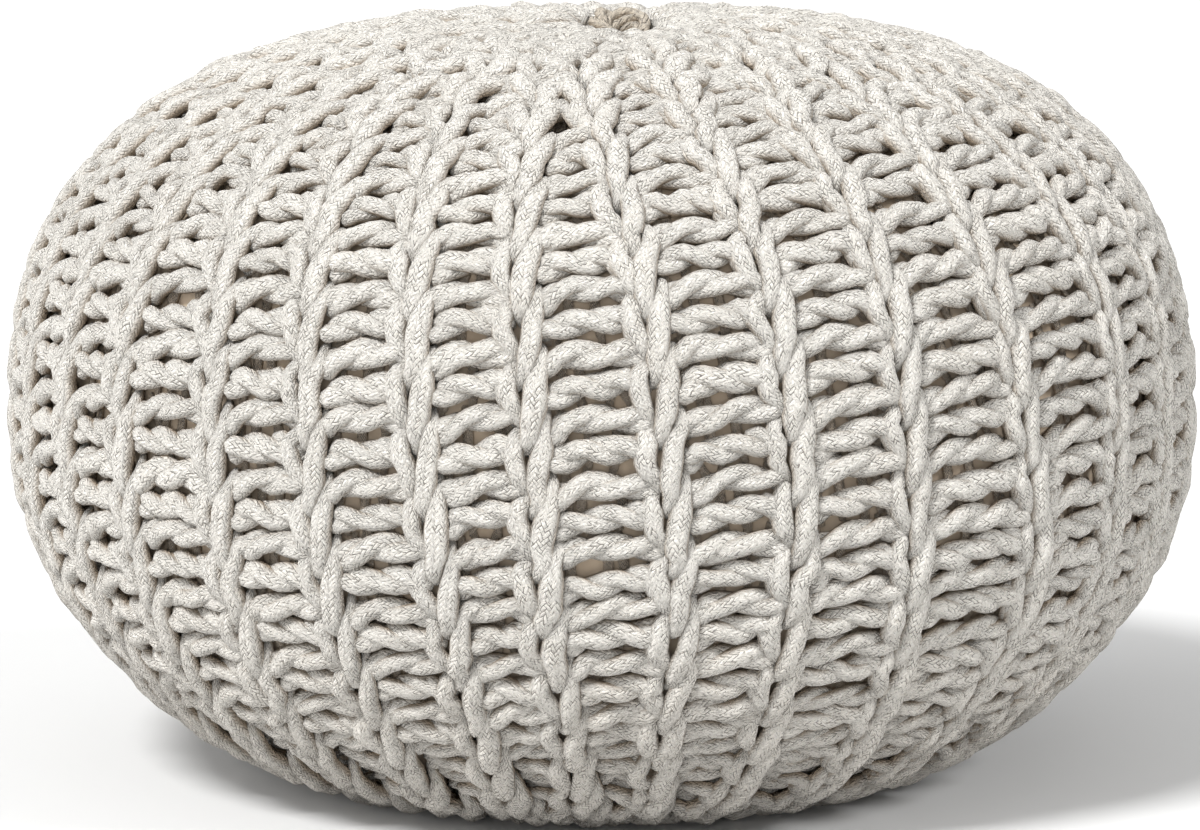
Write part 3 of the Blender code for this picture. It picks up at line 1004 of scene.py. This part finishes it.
def lay_gathers(cords, rng):
    """The last stitches, drawn together round the mouth."""
    crown = slice(int(np.searchsorted(ARC, WAIST_ARC)) + 1, None)
    for course in GATHERS:
        knots = np.array(course)
        knots[:, 1:] += rng.normal(0.0, GATHER_SCATTER, knots[:, 1:].shape) * GATHER_SHARES
        span = np.linalg.norm(np.diff(np.radians(knots[:, 0])) * knots[:-1, 1]) + np.ptp(knots[:, 1])
        rings = ring_count(span * MM * GATHER_FINENESS, 8)
        path = spline_weights(len(knots), rings) @ knots
        arc = np.interp(-path[:, 1] * MM, -SECTION[crown, 0], ARC[crown])[None]
        angle = np.radians(path[:, 0])[None] - sum(LEAN)
        points = on_pouf(arc, angle, path[None, :, 2] * MM)
        half = path[None, :, 3] * MM * tapered(rings)
        cords.add(points, outward(arc, angle), half, GATHER_DEPTH * half, GATHER_SIDES)


def make_casing(material):
    """The stuffed casing: the same curve as the part's, drawn a little finer, its top drawn in."""
    columns, rows = CASING_COLUMNS, CASING_ROWS
    arc = np.linspace(0.0, LAST_ARC - LIP_DROP, rows + 1)[1:]
    angle = 2.0 * np.pi * np.arange(columns) / columns
    grid_arc, grid_angle = np.meshgrid(arc, angle, indexing="ij")
    ring = on_pouf(grid_arc, grid_angle, np.zeros_like(grid_arc)).reshape(-1, 3)
    base = ring[:columns].mean(axis=0, keepdims=True)
    top = ring[-columns:].mean(axis=0, keepdims=True) - np.array([[0.0, 0.0, CASING_DIMPLE]])
    vertices = np.concatenate([ring, base, top])
    row, column = np.divmod(np.arange((rows - 1) * columns), columns)
    after = (column + 1) % columns
    here, above = row * columns, (row + 1) * columns
    quads = np.stack([here + column, here + after, above + after, above + column], axis=1)
    quad_u = np.stack([column, column + 1, column + 1, column], axis=1) / columns
    quad_v = np.stack([row, row, row + 1, row + 1], axis=1) / rows
    around = np.arange(columns)
    start = np.stack([(around + 1) % columns, around, np.full(columns, len(ring))], axis=1)
    last = (rows - 1) * columns
    stop = np.stack([last + around, last + (around + 1) % columns, np.full(columns, len(ring) + 1)], axis=1)
    corners = np.concatenate([quads.ravel(), start.ravel(), stop.ravel()])
    sizes = np.concatenate([np.full(len(quads), 4), np.full(2 * columns, 3)])
    start_u = np.stack([around + 1, around, around + 0.5], axis=1) / columns
    stop_u = np.stack([around, around + 1, around + 0.5], axis=1) / columns
    u = np.concatenate([quad_u.ravel(), start_u.ravel(), stop_u.ravel()])
    start_v = np.tile([0.0, 0.0, -0.5 / rows], (columns, 1))
    stop_v = np.tile([(rows - 1) / rows, (rows - 1) / rows, (rows - 0.5) / rows], (columns, 1))
    v = np.concatenate([quad_v.ravel(), start_v.ravel(), stop_v.ravel()])
    uv = np.stack([u * 0.98 + 0.01, v * 0.97 + 0.02], axis=1)
    obj = mesh_object("stuffed_casing", vertices, corners, sizes, {"OFBake": uv})
    obj.data.materials.append(material)
    return obj


def make_closing_cord(material):
    """The gathering cord, wound round inside the mouth from the bottom up."""
    cords = Cords("gathering_cord", strips_across=2)
    rings = round(RING_TURNS * RINGS_A_TURN) + 1
    walk = np.linspace(0.0, 1.0, rings)
    turn = 2.0 * np.pi * RING_TURNS * walk
    for strand in (0.0, np.pi):
        spin = RING_TWISTS * 2.0 * np.pi * walk + strand
        radius = RING_RADIUS * (1.0 - RING_NARROWS * (1.0 - walk)) + RING_TWIST * np.cos(spin)
        frontness = (1.0 + np.cos(turn)) / 2.0
        height = HEIGHT + RING_RISE - RING_DEPTH * (1.0 - walk) - RING_DIP * frontness**3
        height += RING_TWIST * np.sin(spin)
        x = radius * np.sin(turn) + CROWN_SLIP[0] + RING_SHIFT
        y = -radius * np.cos(turn) + CROWN_SLIP[1]
        points = np.stack([x, y, height], axis=1)[None]
        normals = np.zeros_like(points)
        normals[:, :, 2] = 1.0
        half = np.full((1, rings), RING_STRAND)
        cords.add(points, normals, half, half, RING_SIDES)
    obj = cords.build()
    obj.data.materials.append(material)
    return obj


# ---------------------------------------------------------------- light and floor
SUNS = (
    # name, azimuth, elevation, softness, strength
    ("key", -38.0, 49.0, 16.0, 4.0),
    ("fill_front", -8.0, 4.0, 36.0, 1.05),
    ("fill_right", 66.0, 36.0, 20.0, 2.15),
    ("fill_left", -84.0, 25.0, 50.0, 1.6),
    ("top", 0.0, 88.0, 60.0, 0.35),
)
SUN_DISTANCE = 3.0
WORLD_COLOUR = (0.985, 0.993, 1.0, 1.0)
WORLD_STRENGTH = 0.35
FLOOR_REACH = 40.0
FLOOR_SURFACE = {"Base Color": (0.60, 0.60, 0.597, 1.0), "Roughness": 0.9}


def add_sun(name, azimuth, elevation, softness, strength):
    """A soft light from far away. azimuth runs from the front (-Y) towards +X, all angles in degrees."""
    data = bpy.data.lights.new(name, "SUN")
    data.angle = math.radians(softness)
    data.energy = strength
    light = bpy.data.objects.new(name, data)
    bpy.context.scene.collection.objects.link(light)
    turn, rise = math.radians(azimuth), math.radians(elevation)
    towards = Vector((math.sin(turn) * math.cos(rise), -math.cos(turn) * math.cos(rise), math.sin(rise)))
    light.location = towards * SUN_DISTANCE
    light.rotation_mode = "QUATERNION"
    light.rotation_quaternion = (-towards).to_track_quat("-Z", "Y")


def add_studio():
    world = bpy.data.worlds.new("studio")
    bpy.context.scene.world = world
    world.use_nodes = True
    background = world.node_tree.nodes["Background"]
    background.inputs["Color"].default_value = WORLD_COLOUR
    background.inputs["Strength"].default_value = WORLD_STRENGTH
    for sun in SUNS:
        add_sun(*sun)

    mesh = bpy.data.meshes.new("floor")
    corners = [(x * FLOOR_REACH, y * FLOOR_REACH, 0.0) for x, y in ((-1, -1), (1, -1), (1, 1), (-1, 1))]
    mesh.from_pydata(corners, [], [(0, 1, 2, 3)])
    mesh.materials.append(new_material("floor_paper", FLOOR_SURFACE)[0])
    floor = bpy.data.objects.new("floor", mesh)
    bpy.context.scene.collection.objects.link(floor)


# ---------------------------------------------------------------- the scene
add_camera()
add_studio()
bpy.context.scene.view_settings.view_transform = "Standard"

# name, colour, shade, painted shade colour, plies
cotton = cord_material("cotton_cord", (0.965, 0.93, 0.865), (0.65, 0.555, 0.44), (0.50, 0.375, 0.25), PLIES)
# The back strands get a darker, browner copy of the cotton: painted shade for the knit's gaps, where they
# lie.
shaded = cord_material("back_cord_painted_shade", (0.90, 0.76, 0.60), (0.58, 0.45, 0.33), (0.66, 0.50, 0.34), PLIES)
twine = cord_material(
    "gathering_twine", (0.58, 0.51, 0.415), (0.31, 0.25, 0.185), (0.30, 0.23, 0.155), TWINE_PLIES
)

cover = make_cover(cotton, shaded)
casing = make_casing(casing_material())
gathering = make_closing_cord(twine)
for piece in cover:
    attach(piece, "root")
    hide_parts("knit_cover")
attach(casing, "root")
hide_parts("inner_casing")
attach(gathering, "root")
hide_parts("closing_cord")
